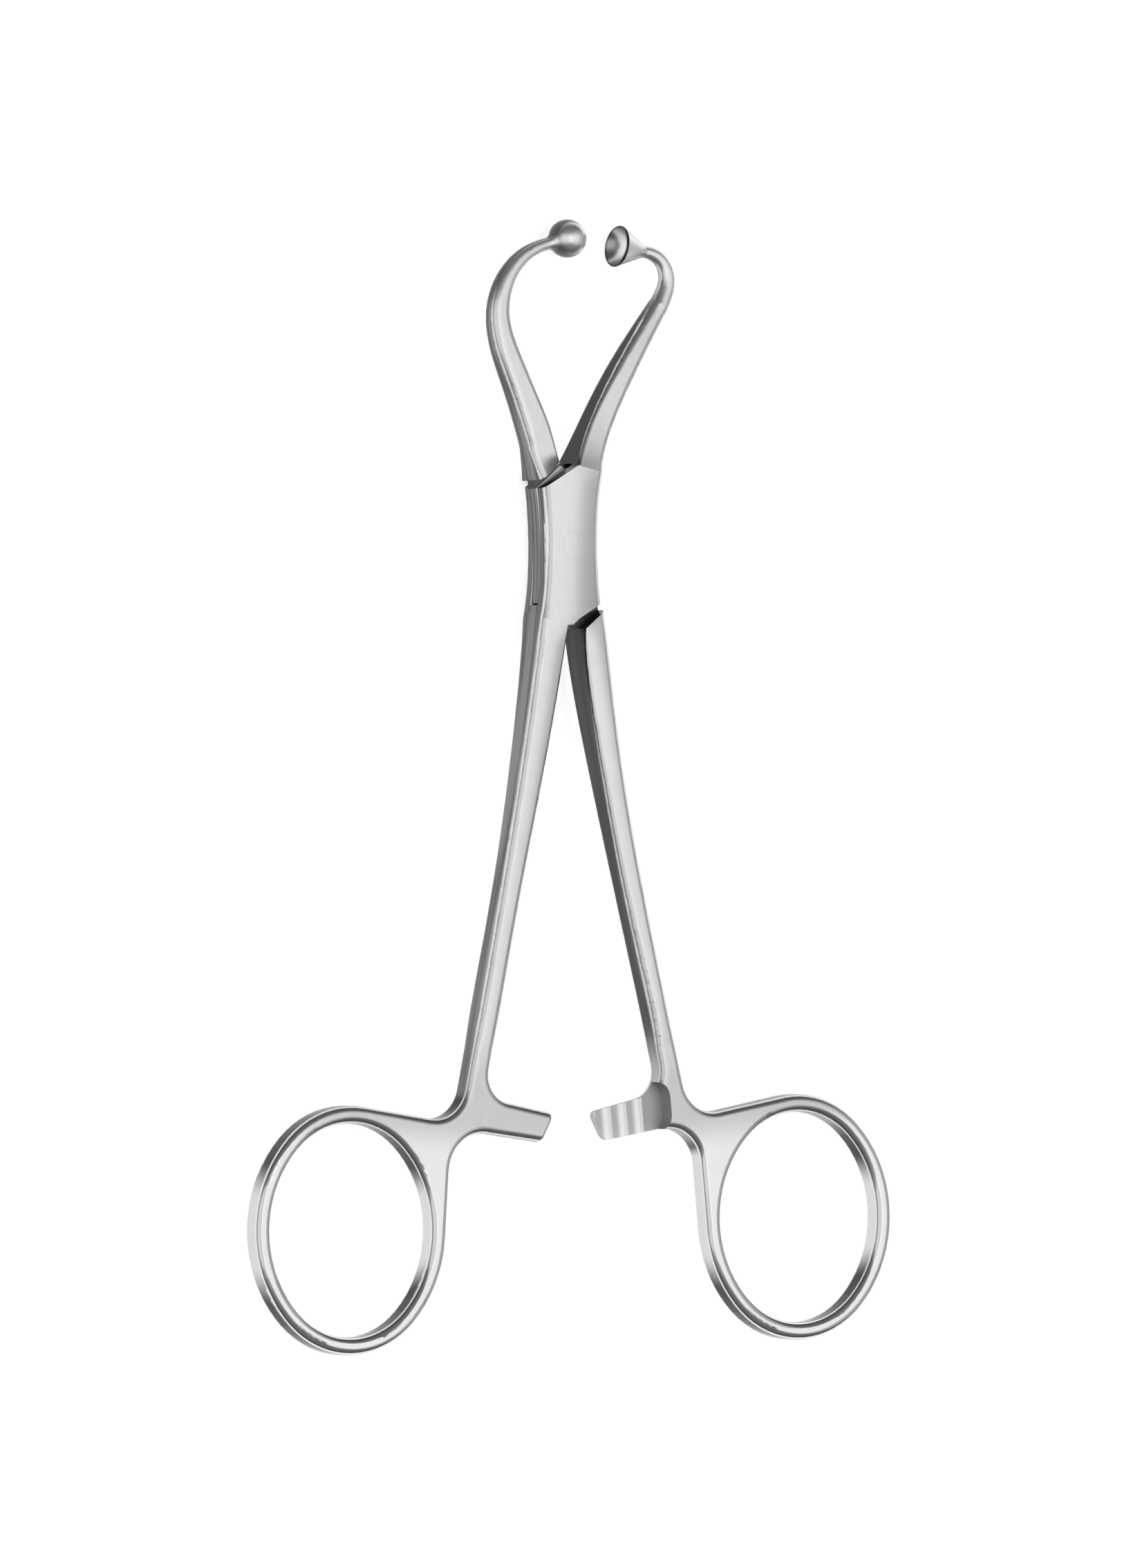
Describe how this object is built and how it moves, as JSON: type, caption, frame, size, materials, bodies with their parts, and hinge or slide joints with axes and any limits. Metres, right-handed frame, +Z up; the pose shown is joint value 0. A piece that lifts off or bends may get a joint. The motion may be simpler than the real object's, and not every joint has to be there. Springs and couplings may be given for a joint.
{
  "type": "towel clamp",
  "caption": "Surgical towel clamp with finger rings, ratchet arms, a box lock and curved jaws that end in a ball and a matching cup.",
  "frame": {"origin": "on the pivot's axis, in the plane of the lock's underside that the clamp lies on", "axes": "+Y runs from the pivot towards the jaws along the middle between the two halves, +X towards the jaw with the cup, and +Z is up along the pivot's axis, through the leaf that faces the camera in the picture"},
  "size_m": [0.0862, 0.1285, 0.0048],
  "materials": {
    "box_half": "fine satin on the broad faces, polished on the rings and edges",
    "tongue_half": "fine satin on the broad faces, polished on the rings and edges",
    "pivot_pin": "fine satin, ground flush with the lock"
  },
  "bodies": {
    "cup_side": {"box_half": "box_half", "pivot_pin": "pivot_pin"},
    "ball_side": {"tongue_half": "tongue_half"}
  },
  "joints": [
    {"name": "lock_pivot", "type": "hinge", "parent": "cup_side", "child": "ball_side", "pos_m": [0, 0, 0.0024], "axis": [0, 0, 1], "range_deg": [-9.54, 45]}
  ]
}
